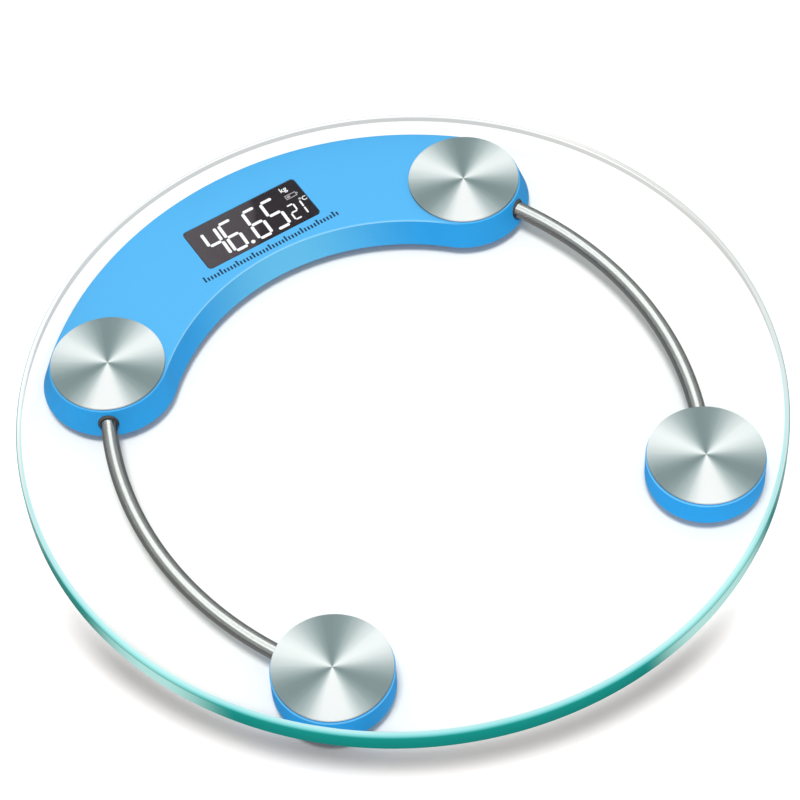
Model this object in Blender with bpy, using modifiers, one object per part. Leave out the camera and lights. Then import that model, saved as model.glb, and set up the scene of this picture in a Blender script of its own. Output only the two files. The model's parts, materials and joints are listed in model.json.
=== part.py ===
"""Electronic personal scale: a round glass platform on a blue arc housing and two round foot pods.

Run it with: blender --background --python part.py

Lengths below are in millimetres, heights are above the floor, and the glass is centred on the
origin. +Y points at the display, and +X is to the right of someone reading it. The four feet stand
on the corners of a square. Pieces that touch on the real object keep GAP between their meshes.
"""

import math

import bmesh
import bpy
from mathutils import Matrix, Vector

MM = 0.001
GAP = 0.3

# Glass platform
GLASS_R = 165.0
GLASS_THICK = 10.0
GLASS_CHAMFER = 1.6

# Feet: four on one circle, 45 degrees off the axes
FOOT_CIRCLE_R = 131.4
FOOT_X = FOOT_CIRCLE_R * math.sqrt(0.5)
FEET = {
    "back_left": (-1, 1),
    "back_right": (1, 1),
    "front_left": (-1, -1),
    "front_right": (1, -1),
}

# Rubber sole and foot pad
SOLE_R = 15.5
SOLE_TOP = 1.5
PAD_R = 17.0
PAD_BOTTOM = 1.0
PAD_TOP = 5.8
POST_R = 4.5
PAD_CLEARANCE = 0.6
PAD_EDGE = 0.5

# Housings
HOUSING_BOTTOM = 5.0
HOUSING_TOP = 17.5
WALL = 1.8
COVER_TOP = 6.3
CEILING = HOUSING_TOP - WALL
EDGE_ROUND = 0.6
ARC_TOP_HALF = 25.9
ARC_FLARE = 3.8
ARC_COVER_HALF = 27.0
POD_R = 25.6
POD_COVER_R = POD_R - WALL - 0.4

# Steel discs between the housings and the glass
DISC_R = 25.1
DISC_BOTTOM = HOUSING_TOP + GAP
DISC_TOP = DISC_BOTTOM + 1.0
GLASS_BOTTOM = DISC_TOP + GAP
GLASS_TOP = GLASS_BOTTOM + GLASS_THICK

# Load cells and their carriers
CELL_SIDE = 30.0
CELL_BOTTOM = 10.4
CELL_TOP = 11.6
# The slots that free a load cell's tongue: plan centre and size, in the cell's own axes
CELL_SLOTS = ((0.0, 7.5, (18.0, 2.0)), (0.0, -7.5, (18.0, 2.0)), (8.0, 0.0, (2.0, 16.0)))
CARRIER_SIDE = 33.0
CARRIER_BOTTOM = CELL_TOP + GAP
CARRIER_TOP = CEILING - GAP
CARRIER_POCKET = (24.0, 24.0)
CARRIER_POCKET_DEPTH = 1.8

# Steel tubes that carry the front load cells' leads
TUBE_R = 3.5
TUBE_WALL = 0.7
TUBE_Z = 11.0
TUBE_BEND_R = 163.0
TUBE_CENTRE_X = FOOT_X - math.sqrt(TUBE_BEND_R**2 - FOOT_X**2)
TUBE_END = 22.0
GROMMET_R = 4.35
GROMMET_LENGTH = 2.6
GROMMET_SET_BACK = 0.6
LEAD_R = 1.1

# Screws
SCREW_HEAD_R = 2.0
SCREW_SHANK_R = 1.0
SCREW_TIP = 12.0
PILOT_EXTRA = 0.8
CROSS_RECESS = ((2.2, 0.6), (0.6, 2.2))
CROSS_DEPTH = 0.7
BOSS_R = 2.8
POD_SCREW_R = 20.4
ARC_SCREWS = ((58, FOOT_CIRCLE_R), (78, 149.0), (102, 149.0), (122, FOOT_CIRCLE_R))

# Display
WINDOW = (58.8, 25.2)
WINDOW_Y = 125.8
WINDOW_CORNER = 2.0
LENS_BOTTOM = 16.5
LENS_TOP = 17.4
LCD = (56.0, 22.0)
LEDGE = 2.1
LCD_BOTTOM = 12.7
LCD_TOP = 15.2
LIGHT_BOTTOM = 10.5
HOLDER = (61.0, 27.0)
BOARD = (82.0, 26.0)
BOARD_X = -10.0
BOARD_BOTTOM = 9.2
BOARD_TOP = 10.2

# Battery, its cap and the unit button, both on the foot circle
TURNING_CLEARANCE = 0.35
BATTERY_ANGLE = 69
BUTTON_ANGLE = 180 - BATTERY_ANGLE
CAP_R = 12.0
CAP_TOP = 7.2
LUG_R = 13.6
LUG_WIDTH = 4.4
LUG_BOTTOM = COVER_TOP + GAP
COIN_R = 10.0
COIN_BOTTOM = CAP_TOP + GAP
COIN_TOP = COIN_BOTTOM + 3.2
CUP_R = 12.2
CUP_BORE_R = 10.9
CUP_TOP = 12.6
BUTTON_R = 3.5
BUTTON_FLANGE_R = 4.6

PARTS = "glass_personal_scale"
CUTTERS = "cutters"

LOOKS = {
    # name: colour, roughness, metallic, transmission
    "clear_glass": ((0.80, 0.95, 0.92), 0.02, 0.0, 0.9),
    "blue_plastic": ((0.10, 0.50, 1.0), 0.35, 0.0, 0.0),
    "dark_blue_plastic": ((0.06, 0.32, 0.72), 0.50, 0.0, 0.0),
    "brushed_steel": ((0.72, 0.76, 0.75), 0.30, 1.0, 0.0),
    "polished_steel": ((0.78, 0.79, 0.80), 0.12, 1.0, 0.0),
    "spring_steel": ((0.55, 0.56, 0.58), 0.40, 1.0, 0.0),
    "contact_brass": ((0.80, 0.62, 0.30), 0.30, 1.0, 0.0),
    "black_rubber": ((0.03, 0.03, 0.03), 0.80, 0.0, 0.0),
    "white_plastic": ((0.80, 0.80, 0.78), 0.50, 0.0, 0.0),
    "black_plastic": ((0.04, 0.04, 0.045), 0.45, 0.0, 0.0),
    "smoked_lens": ((0.03, 0.02, 0.03), 0.05, 0.0, 0.0),
    "green_laminate": ((0.02, 0.22, 0.08), 0.45, 0.0, 0.0),
    "grey_wire": ((0.35, 0.36, 0.38), 0.50, 0.0, 0.0),
}


def clear_file():
    for obj in list(bpy.data.objects):
        bpy.data.objects.remove(obj)
    for name in (PARTS, CUTTERS):
        bpy.context.scene.collection.children.link(bpy.data.collections.new(name))


def make_materials():
    for name, (colour, roughness, metallic, transmission) in LOOKS.items():
        mat = bpy.data.materials.new(name)
        mat.use_nodes = True
        mat.diffuse_color = (*colour, 1.0)
        shader = mat.node_tree.nodes["Principled BSDF"]
        shader.inputs["Base Color"].default_value = (*colour, 1.0)
        shader.inputs["Roughness"].default_value = roughness
        shader.inputs["Metallic"].default_value = metallic
        shader.inputs["Transmission Weight"].default_value = transmission


def polar(radius, degrees, centre=(0.0, 0.0)):
    """The plan point at this radius and angle about a centre."""
    a = math.radians(degrees)
    return centre[0] + radius * math.cos(a), centre[1] + radius * math.sin(a)


# Making and placing objects


def put(obj, collection):
    for old in list(obj.users_collection):
        old.objects.unlink(obj)
    bpy.data.collections[collection].objects.link(obj)
    return obj


def as_part(obj, name, look, parent=None):
    """Names a finished piece, gives it its material and, where it has one, its parent."""
    obj.name = name
    obj.data.name = name
    obj.data.materials.clear()
    obj.data.materials.append(bpy.data.materials[look])
    obj.data.shade_smooth()
    obj.data.set_sharp_from_angle(angle=math.radians(32))
    if parent is not None:
        obj.parent = parent
        obj.location -= parent.location
    return put(obj, PARTS)


def as_cutter(obj):
    obj.hide_render = True
    obj.display_type = "WIRE"
    return put(obj, CUTTERS)


def from_bmesh(name, bm):
    """An object with this mesh, its faces turned outwards."""
    bmesh.ops.recalc_face_normals(bm, faces=bm.faces)
    mesh = bpy.data.meshes.new(name)
    bm.to_mesh(mesh)
    bm.free()
    obj = bpy.data.objects.new(name, mesh)
    bpy.context.scene.collection.objects.link(obj)
    return obj


def frozen(obj, name):
    """The object as evaluated, welded into a plain mesh object, in place of the first."""
    bpy.context.view_layer.update()
    graph = bpy.context.evaluated_depsgraph_get()
    mesh = bpy.data.meshes.new_from_object(obj.evaluated_get(graph))
    bm = bmesh.new()
    bm.from_mesh(mesh)
    bpy.data.meshes.remove(mesh)
    bmesh.ops.remove_doubles(bm, verts=bm.verts, dist=1e-6)
    solid = from_bmesh(name, bm)
    solid.matrix_world = obj.matrix_world.copy()
    bpy.data.objects.remove(obj)
    return solid


def drum(radius, bottom, top, at=(0.0, 0.0), sides=32):
    """An upright cylinder between two heights."""
    bpy.ops.mesh.primitive_cylinder_add(
        vertices=sides,
        radius=radius * MM,
        depth=(top - bottom) * MM,
        location=(at[0] * MM, at[1] * MM, (bottom + top) / 2 * MM),
    )
    return bpy.context.object


def rod(radius, length, centre, direction, sides):
    """A cylinder of this length about a centre, along a direction."""
    bpy.ops.mesh.primitive_cylinder_add(
        vertices=sides, radius=radius * MM, depth=length * MM, location=Vector(centre) * MM
    )
    obj = bpy.context.object
    obj.rotation_euler = Vector(direction).to_track_quat("Z", "Y").to_euler()
    return obj


def block(size, bottom, top, at=(0.0, 0.0), turn=0.0):
    """An upright box of this plan size between two heights, turned about Z in degrees."""
    bm = bmesh.new()
    shape = Matrix.Diagonal((size[0] * MM, size[1] * MM, (top - bottom) * MM, 1.0))
    bmesh.ops.create_cube(bm, size=1.0, matrix=shape)
    obj = from_bmesh("block", bm)
    obj.location = (at[0] * MM, at[1] * MM, (bottom + top) / 2 * MM)
    obj.rotation_euler.z = math.radians(turn)
    return obj


def turned(profile, steps=36, at=(0.0, 0.0)):
    """A profile of (radius, height) points, listed down its outer side, turned about Z."""
    bm = bmesh.new()
    verts = [bm.verts.new((r * MM, 0.0, z * MM)) for r, z in profile]
    for a, b in zip(verts, verts[1:]):
        bm.edges.new((a, b))
    if profile[0][0] > 0.0:
        bm.edges.new((verts[-1], verts[0]))
    mesh = bpy.data.meshes.new("turned")
    bm.to_mesh(mesh)
    bm.free()
    obj = bpy.data.objects.new("turned", mesh)
    bpy.context.scene.collection.objects.link(obj)
    screw = obj.modifiers.new("Turn", "SCREW")
    screw.steps = steps
    screw.render_steps = steps
    screw.use_merge_vertices = True
    screw.merge_threshold = 1e-6
    obj.location = (at[0] * MM, at[1] * MM, 0.0)
    return obj


def plate(outline, bottom, top, at=(0.0, 0.0), turn=0.0):
    """A flat outline of plan points given thickness."""
    curve = bpy.data.curves.new("plate", "CURVE")
    curve.dimensions = "2D"
    curve.fill_mode = "BOTH"
    curve.extrude = (top - bottom) / 2 * MM
    spline = curve.splines.new("POLY")
    spline.points.add(len(outline) - 1)
    for point, (x, y) in zip(spline.points, outline):
        point.co = (x * MM, y * MM, 0.0, 1.0)
    spline.use_cyclic_u = True
    obj = bpy.data.objects.new("plate", curve)
    bpy.context.scene.collection.objects.link(obj)
    obj.location = (at[0] * MM, at[1] * MM, (bottom + top) / 2 * MM)
    obj.rotation_euler.z = math.radians(turn)
    return frozen(obj, "plate")


def rounded_rectangle(size, corner, steps=5):
    """The outline of a rectangle about the origin with round corners."""
    outline = []
    for sx, sy, start in ((1, 1, 0), (-1, 1, 90), (-1, -1, 180), (1, -1, 270)):
        centre = (sx * (size[0] / 2 - corner), sy * (size[1] / 2 - corner))
        outline += [polar(corner, start + 90 * i / steps, centre) for i in range(steps + 1)]
    return outline


def arc_outline(half, sweep=36, cap=16):
    """The outline of the band within half its width of the foot circle, between the back feet.

    Its ends are half circles about the two back feet.
    """
    outline = []
    for i in range(sweep):
        outline.append(polar(FOOT_CIRCLE_R + half, 45 + 90 * i / sweep))
    for i in range(cap):
        outline.append(polar(half, 135 + 180 * i / cap, (-FOOT_X, FOOT_X)))
    for i in range(sweep):
        outline.append(polar(FOOT_CIRCLE_R - half, 135 - 90 * i / sweep))
    for i in range(cap):
        outline.append(polar(half, 225 + 180 * i / cap, (FOOT_X, FOOT_X)))
    return outline


def arc_loft(rings):
    """A closed body through arc outlines, each given as (half width, height), capped at both ends."""
    bm = bmesh.new()
    loops = []
    for half, z in rings:
        loops.append([bm.verts.new((x * MM, y * MM, z * MM)) for x, y in arc_outline(half)])
    count = len(loops[0])
    for low, high in zip(loops, loops[1:]):
        for i in range(count):
            j = (i + 1) % count
            bm.faces.new((low[i], low[j], high[j], high[i]))
    bm.faces.new(loops[0])
    bm.faces.new(loops[-1])
    return from_bmesh("arc_loft", bm)


def smooth_route(route, spacing):
    """Points about this far apart on a smooth curve through the route's own points."""
    pts = [Vector(p) for p in route]
    ends = [2 * pts[0] - pts[1], *pts, 2 * pts[-1] - pts[-2]]
    out = []
    for p0, p1, p2, p3 in zip(ends, ends[1:], ends[2:], ends[3:]):
        pieces = max(1, round((p2 - p1).length / spacing))
        for i in range(pieces):
            t = i / pieces
            out.append(
                0.5
                * (
                    2 * p1
                    + (p2 - p0) * t
                    + (2 * p0 - 5 * p1 + 4 * p2 - p3) * t**2
                    + (3 * p1 - 3 * p2 + p3 - p0) * t**3
                )
            )
    return [*out, pts[-1]]


def round_wire(points, radius, resolution, caps=True):
    """A curve through these points with a round section."""
    curve = bpy.data.curves.new("wire", "CURVE")
    curve.dimensions = "3D"
    curve.bevel_depth = radius * MM
    curve.bevel_resolution = resolution
    curve.use_fill_caps = caps
    spline = curve.splines.new("POLY")
    spline.points.add(len(points) - 1)
    for point, co in zip(spline.points, points):
        point.co = (*(Vector(co) * MM), 1.0)
    obj = bpy.data.objects.new("wire", curve)
    bpy.context.scene.collection.objects.link(obj)
    return frozen(obj, "wire")


def boolean(obj, operation, tool):
    """Cuts a tool from a piece, or joins it on. The tool stays as a hidden guide."""
    if not tool.users_collection or tool.users_collection[0].name != CUTTERS:
        as_cutter(tool)
    mod = obj.modifiers.new(operation.title(), "BOOLEAN")
    mod.operation = operation
    mod.solver = "EXACT"
    mod.object = tool
    return obj


def cut(obj, *tools):
    for tool in tools:
        boolean(obj, "DIFFERENCE", tool)
    return obj


def join(obj, *tools):
    for tool in tools:
        boolean(obj, "UNION", tool)
    return obj


def soften(obj, width):
    """A chamfer on the sharp edges."""
    bevel = obj.modifiers.new("Bevel", "BEVEL")
    bevel.width = width * MM
    bevel.segments = 1
    bevel.limit_method = "ANGLE"
    bevel.angle_limit = math.radians(40)
    return obj


# Where things are


def foot_centre(foot):
    sx, sy = FEET[foot]
    return sx * FOOT_X, sy * FOOT_X


def tube_angle(from_foot):
    """The angle on the tube's bend circle of the point this far from a foot's centre."""
    at_foot = math.asin(FOOT_X / TUBE_BEND_R)
    return math.degrees(at_foot - 2 * math.asin(from_foot / 2 / TUBE_BEND_R))


def tube_point(foot, from_foot, z=TUBE_Z):
    """A point on the tube's centre line, this far from a foot's centre."""
    sx, sy = FEET[foot]
    x, y = polar(TUBE_BEND_R, tube_angle(from_foot), (TUBE_CENTRE_X, 0.0))
    return sx * x, sy * y, z


def tube_direction(foot, from_foot):
    """The tube's direction there, away from the foot."""
    sx, sy = FEET[foot]
    a = math.radians(tube_angle(from_foot))
    return sx * math.sin(a), -sy * math.cos(a), 0.0


def tube_bearing(foot):
    """The plan angle from a foot's centre to its tube's end, in degrees."""
    x, y, _ = tube_point(foot, TUBE_END)
    fx, fy = foot_centre(foot)
    return math.degrees(math.atan2(y - fy, x - fx))


def pod_screw_places(foot):
    turn = tube_bearing(foot)
    return [polar(POD_SCREW_R, turn + side, foot_centre(foot)) for side in (90, -90)]


# The pieces


def make_glass():
    edge = GLASS_R - GLASS_CHAMFER
    glass = turned(
        [
            (0.0, GLASS_TOP),
            (edge, GLASS_TOP),
            (GLASS_R, GLASS_TOP - GLASS_CHAMFER),
            (GLASS_R, GLASS_BOTTOM + GLASS_CHAMFER),
            (edge, GLASS_BOTTOM),
            (0.0, GLASS_BOTTOM),
        ],
        steps=96,
    )
    as_part(glass, "glass_platform", "clear_glass")


def foot_axis(foot):
    """An empty on the foot's axis, the parent of the pieces stacked on that axis."""
    axis = bpy.data.objects.new("axis_" + foot, None)
    x, y = foot_centre(foot)
    axis.location = (x * MM, y * MM, 0.0)
    return put(axis, PARTS)


def make_foot(foot):
    """The stack at one corner, from the floor up."""
    at = foot_centre(foot)
    turn = tube_bearing(foot)
    axis = foot_axis(foot)

    sole = turned(
        [(0.0, SOLE_TOP), (SOLE_R, SOLE_TOP), (SOLE_R, PAD_EDGE), (SOLE_R - PAD_EDGE, 0.0), (0.0, 0.0)], 28, at
    )
    as_part(sole, "rubber_sole_" + foot, "black_rubber", axis)

    pad = turned(
        [
            (0.0, CELL_BOTTOM - GAP),
            (POST_R, CELL_BOTTOM - GAP),
            (POST_R, PAD_TOP),
            (PAD_R - PAD_EDGE, PAD_TOP),
            (PAD_R, PAD_TOP - PAD_EDGE),
            (PAD_R, PAD_BOTTOM),
            (SOLE_R + GAP, PAD_BOTTOM),
            (SOLE_R + GAP, SOLE_TOP + GAP),
            (0.0, SOLE_TOP + GAP),
        ],
        28,
        at,
    )
    as_part(pad, "foot_pad_" + foot, "white_plastic", axis)

    cell = plate(rounded_rectangle((CELL_SIDE, CELL_SIDE), 3.0, 4), CELL_BOTTOM, CELL_TOP, at, turn)
    for x, y, size in CELL_SLOTS:
        dx, dy = polar(math.hypot(x, y), turn + math.degrees(math.atan2(y, x)), at)
        cut(cell, block(size, CELL_BOTTOM - 1, CELL_TOP + 1, (dx, dy), turn))
    as_part(cell, "load_cell_" + foot, "spring_steel", axis)

    outline = rounded_rectangle((CARRIER_SIDE, CARRIER_SIDE), 4.0, 4)
    carrier = plate(outline, CARRIER_BOTTOM, CARRIER_TOP, at, turn)
    pocket_top = CARRIER_BOTTOM + CARRIER_POCKET_DEPTH
    cut(carrier, block(CARRIER_POCKET, CARRIER_BOTTOM - 1, pocket_top, at, turn))
    as_part(carrier, "cell_carrier_" + foot, "black_plastic", axis)

    disc = drum(DISC_R, DISC_BOTTOM, DISC_TOP, at, 56)
    as_part(disc, "steel_disc_" + foot, "brushed_steel", axis)


def screw_clearance(at):
    """The countersunk hole through a cover and the pilot hole in the boss above it."""
    return turned(
        [
            (0.0, SCREW_TIP + PILOT_EXTRA),
            (SCREW_SHANK_R + GAP, SCREW_TIP + PILOT_EXTRA),
            (SCREW_SHANK_R + GAP, COVER_TOP + 0.1),
            (SCREW_HEAD_R + GAP, HOUSING_BOTTOM + 0.2),
            (SCREW_HEAD_R + GAP, HOUSING_BOTTOM - 1),
            (0.0, HOUSING_BOTTOM - 1),
        ],
        16,
        at,
    )


def add_bosses(shell, places):
    """Screw bosses that hang from a housing's ceiling, each with its pilot hole."""
    for at in places:
        join(shell, drum(BOSS_R, COVER_TOP + GAP, CEILING + WALL / 2, at, 16))
        cut(shell, screw_clearance(at))


def screw_places():
    """Each screw's name and plan point."""
    places = {"arc_screw_%d" % (i + 1): polar(r, a) for i, (a, r) in enumerate(ARC_SCREWS)}
    for foot in ("front_left", "front_right"):
        for i, at in enumerate(pod_screw_places(foot)):
            places["pod_screw_%s_%d" % (foot, i + 1)] = at
    return places


def make_screws():
    head = HOUSING_BOTTOM + 0.1
    screw = turned(
        [
            (0.0, SCREW_TIP),
            (SCREW_SHANK_R * 0.5, SCREW_TIP),
            (SCREW_SHANK_R, SCREW_TIP - 1.2),
            (SCREW_SHANK_R, COVER_TOP),
            (SCREW_HEAD_R, head + 0.3),
            (SCREW_HEAD_R, head),
            (0.0, head),
        ],
        14,
    )
    for size in CROSS_RECESS:
        cut(screw, block(size, head - 0.5, head + CROSS_DEPTH))
    pattern = frozen(screw, "screw")
    for name, (x, y) in screw_places().items():
        copy = bpy.data.objects.new(name, pattern.data.copy())
        copy.location = (x * MM, y * MM, 0.0)
        as_part(copy, name, "spring_steel")
    bpy.data.objects.remove(pattern)


def tube_hole(foot, wall_at):
    """The round hole where a tube enters a housing's wall."""
    centre = tube_point(foot, wall_at)
    return rod(GROMMET_R + GAP, 9.0, centre, tube_direction(foot, wall_at), 24)


def arc_wall_half():
    """The arc housing's half width at the tube's height, to the middle of its wall."""
    rise = (TUBE_Z - HOUSING_BOTTOM) / (HOUSING_TOP - EDGE_ROUND - HOUSING_BOTTOM)
    return ARC_TOP_HALF + ARC_FLARE * (1 - rise) - WALL / 2


def make_arc_housing():
    slope = ARC_FLARE / (HOUSING_TOP - EDGE_ROUND - HOUSING_BOTTOM)
    foot_half = ARC_TOP_HALF + ARC_FLARE
    shell = arc_loft(
        [
            (foot_half - WALL - slope * (CEILING - HOUSING_BOTTOM), CEILING),
            (foot_half - WALL, HOUSING_BOTTOM),
            (foot_half, HOUSING_BOTTOM),
            (ARC_TOP_HALF, HOUSING_TOP - EDGE_ROUND),
            (ARC_TOP_HALF - 0.3 * EDGE_ROUND, HOUSING_TOP - 0.3 * EDGE_ROUND),
            (ARC_TOP_HALF - EDGE_ROUND, HOUSING_TOP),
        ]
    )
    add_bosses(shell, [polar(r, a) for a, r in ARC_SCREWS])
    at = (0.0, WINDOW_Y)
    ledge = (WINDOW[0] - 2 * LEDGE, WINDOW[1] - 2 * LEDGE)
    above = HOUSING_TOP + 1
    cut(shell, plate(rounded_rectangle(WINDOW, WINDOW_CORNER), LENS_BOTTOM - GAP, above, at))
    cut(shell, plate(rounded_rectangle(ledge, 1.0), CEILING - 1, above, at))
    for foot in ("back_left", "back_right"):
        cut(shell, tube_hole(foot, arc_wall_half()))
    as_part(shell, "arc_housing", "blue_plastic")


def make_arc_cover():
    cover = arc_loft([(ARC_COVER_HALF, HOUSING_BOTTOM), (ARC_COVER_HALF, COVER_TOP)])
    low, high = HOUSING_BOTTOM - 1, COVER_TOP + 1
    for foot in ("back_left", "back_right"):
        cut(cover, drum(PAD_R + PAD_CLEARANCE, low, high, foot_centre(foot), 32))
    battery = polar(FOOT_CIRCLE_R, BATTERY_ANGLE)
    cut(cover, drum(CAP_R + TURNING_CLEARANCE, low, high, battery, 32))
    notch = (2 * (LUG_R + GAP), LUG_WIDTH + 1.0)
    cut(cover, block(notch, low, high, battery, BATTERY_ANGLE + 45))
    button = polar(FOOT_CIRCLE_R, BUTTON_ANGLE)
    cut(cover, drum(BUTTON_R + TURNING_CLEARANCE, low, high, button, 24))
    for angle, radius in ARC_SCREWS:
        cut(cover, screw_clearance(polar(radius, angle)))
    as_part(cover, "arc_bottom_cover", "dark_blue_plastic")


def make_pod(foot):
    """A round front housing, open below, and the ring that closes it round the foot pad."""
    at = foot_centre(foot)
    inner = POD_R - WALL
    shell = turned(
        [
            (0.0, HOUSING_TOP),
            (POD_R - EDGE_ROUND, HOUSING_TOP),
            (POD_R - 0.3 * EDGE_ROUND, HOUSING_TOP - 0.3 * EDGE_ROUND),
            (POD_R, HOUSING_TOP - EDGE_ROUND),
            (POD_R, HOUSING_BOTTOM),
            (inner, HOUSING_BOTTOM),
            (inner, CEILING),
            (0.0, CEILING),
        ],
        40,
        at,
    )
    places = pod_screw_places(foot)
    add_bosses(shell, places)
    cut(shell, tube_hole(foot, POD_R - WALL / 2))
    as_part(shell, "pod_housing_" + foot, "blue_plastic")

    ring = drum(POD_COVER_R, HOUSING_BOTTOM, COVER_TOP, at, 40)
    cut(ring, drum(PAD_R + PAD_CLEARANCE, HOUSING_BOTTOM - 1, COVER_TOP + 1, at, 32))
    for place in places:
        cut(ring, screw_clearance(place))
    as_part(ring, "pod_bottom_ring_" + foot, "dark_blue_plastic")


def make_tube(side):
    """The bent steel tube between one front pod and the arc housing, open at both ends."""
    foot = "back_" + side
    sx = FEET[foot][0]
    reach = tube_angle(TUBE_END)
    steps = 12
    points = []
    for i in range(steps + 1):
        x, y = polar(TUBE_BEND_R, reach * (2 * i / steps - 1), (TUBE_CENTRE_X, 0.0))
        points.append((sx * x, y, TUBE_Z))
    tube = round_wire(points, TUBE_R, 6, caps=False)
    wall = tube.modifiers.new("Wall", "SOLIDIFY")
    wall.thickness = TUBE_WALL * MM
    wall.offset = -1.0
    as_part(tube, "lead_tube_" + side, "polished_steel")


def make_grommet(foot, wall_at):
    """The rubber ring that seals a tube in a housing's wall."""
    bore, half = TUBE_R + GAP, GROMMET_LENGTH / 2
    ring = turned([(GROMMET_R, half), (GROMMET_R, -half), (bore, -half), (bore, half)], 24)
    ring.location = Vector(tube_point(foot, wall_at)) * MM
    direction = Vector(tube_direction(foot, wall_at))
    ring.rotation_euler = direction.to_track_quat("Z", "Y").to_euler()
    as_part(ring, "tube_grommet_" + foot, "black_rubber")


def make_display():
    at = (0.0, WINDOW_Y)
    pane = (WINDOW[0] - 2 * GAP, WINDOW[1] - 2 * GAP)
    lens = plate(rounded_rectangle(pane, WINDOW_CORNER - GAP), LENS_BOTTOM, LENS_TOP, at)
    as_part(lens, "display_lens", "smoked_lens")
    as_part(block(LCD, LCD_BOTTOM, LCD_TOP, at), "lcd_panel", "smoked_lens")
    as_part(block(LCD, LIGHT_BOTTOM, LCD_BOTTOM - GAP, at), "lcd_backlight", "white_plastic")
    holder = block(HOLDER, LIGHT_BOTTOM, CEILING - GAP, at)
    opening = (LCD[0] + 2 * GAP, LCD[1] + 2 * GAP)
    cut(holder, block(opening, LIGHT_BOTTOM - 1, CEILING + 1, at))
    as_part(holder, "lcd_holder", "black_plastic")


def make_electronics():
    outline = rounded_rectangle(BOARD, 1.5, 3)
    board = plate(outline, BOARD_BOTTOM, BOARD_TOP, (BOARD_X, WINDOW_Y))
    as_part(board, "circuit_board", "green_laminate")
    top = BOARD_BOTTOM - GAP
    blob = turned([(0.0, top), (6.0, top), (5.4, top - 0.8), (3.6, top - 1.4), (0.0, top - 1.6)], 28)
    blob.location = (-15.0 * MM, WINDOW_Y * MM, 0.0)
    as_part(blob, "controller_chip", "black_plastic")
    bpy.ops.mesh.primitive_uv_sphere_add(
        segments=16, ring_count=8, radius=1.1 * MM, location=(22.0 * MM, 131.0 * MM, (top - 1.1) * MM)
    )
    as_part(bpy.context.object, "thermistor_bead", "black_plastic")


def make_unit_button():
    at = polar(FOOT_CIRCLE_R, BUTTON_ANGLE)
    flange_bottom = COVER_TOP + GAP
    button = turned(
        [
            (0.0, flange_bottom + 0.4),
            (BUTTON_FLANGE_R, flange_bottom + 0.4),
            (BUTTON_FLANGE_R, flange_bottom),
            (BUTTON_R, flange_bottom),
            (BUTTON_R, HOUSING_BOTTOM),
            (BUTTON_R - 0.4, HOUSING_BOTTOM - 0.2),
            (0.0, HOUSING_BOTTOM - 0.2),
        ],
        24,
        at,
    )
    as_part(button, "unit_button", "white_plastic")
    top = BOARD_BOTTOM - GAP
    switch = block((6.0, 6.0), top - 1.0, top, at)
    join(switch, drum(1.5, top - 1.35, top - 0.5, at, 20))
    as_part(switch, "tactile_switch", "black_plastic")


def make_battery():
    """The coin cell in its cup, two contacts that reach the board, and the quarter-turn cap."""
    at = polar(FOOT_CIRCLE_R, BATTERY_ANGLE)
    coin = soften(drum(COIN_R, COIN_BOTTOM, COIN_TOP, at, 32), 0.4)
    as_part(coin, "coin_cell", "polished_steel")

    board_end = BOARD_X + BOARD[0] / 2 - at[0]
    strip_top = COIN_TOP + GAP
    cup_bore = turned(
        [(0.0, strip_top + 0.6), (CUP_BORE_R, strip_top + 0.6), (CUP_BORE_R, 0.0), (0.0, 0.0)], 32, at
    )
    cup = drum(CUP_R, COIN_BOTTOM, CUP_TOP, at, 32)
    slot_x = at[0] - CUP_R + 0.5
    cut(
        cup,
        cup_bore,
        block((3.0, 5.0), strip_top - GAP, strip_top + 0.6, (slot_x, at[1])),
        block((3.0, 1.0), COIN_BOTTOM - 0.1, COIN_TOP - 0.4, (slot_x, at[1] - 0.15)),
    )
    as_part(cup, "battery_cup", "black_plastic")

    # Flat strip over the cell, ending above the board's edge
    near, far = board_end - 0.2 + GAP, 5.0
    strip = block((far - near, 4.0), strip_top, strip_top + 0.3, (at[0] + (near + far) / 2, at[1]))
    as_part(strip, "battery_contact_negative", "contact_brass")

    # Strip on edge round a quarter of the cell, with a tail to the board's edge
    r = COIN_R + GAP
    tail = board_end + GAP
    arc_in = [polar(r, 90 + 90 * i / 8) for i in range(9)]
    arc_out = [polar(r + 0.3, 180 - 90 * i / 8) for i in range(9)]
    outline = [*arc_in, (-r, -0.3), (tail, -0.3), (tail, 0.0), *arc_out]
    clip = plate(outline, COIN_BOTTOM + 0.5, COIN_TOP - 0.7, at)
    as_part(clip, "battery_contact_positive", "contact_brass")

    cap = turned(
        [
            (0.0, CAP_TOP),
            (CAP_R - 0.6, CAP_TOP),
            (CAP_R - 0.6, COVER_TOP),
            (CAP_R, COVER_TOP),
            (CAP_R, HOUSING_BOTTOM + 0.3),
            (CAP_R - 0.3, HOUSING_BOTTOM),
            (0.0, HOUSING_BOTTOM),
        ],
        32,
        at,
    )
    join(cap, block((2 * LUG_R, LUG_WIDTH), LUG_BOTTOM, CAP_TOP - 0.1, at, BATTERY_ANGLE))
    cut(cap, block((14.0, 2.0), HOUSING_BOTTOM - 1, HOUSING_BOTTOM + 1.0, at, BATTERY_ANGLE))
    as_part(cap, "battery_cap", "white_plastic")


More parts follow.
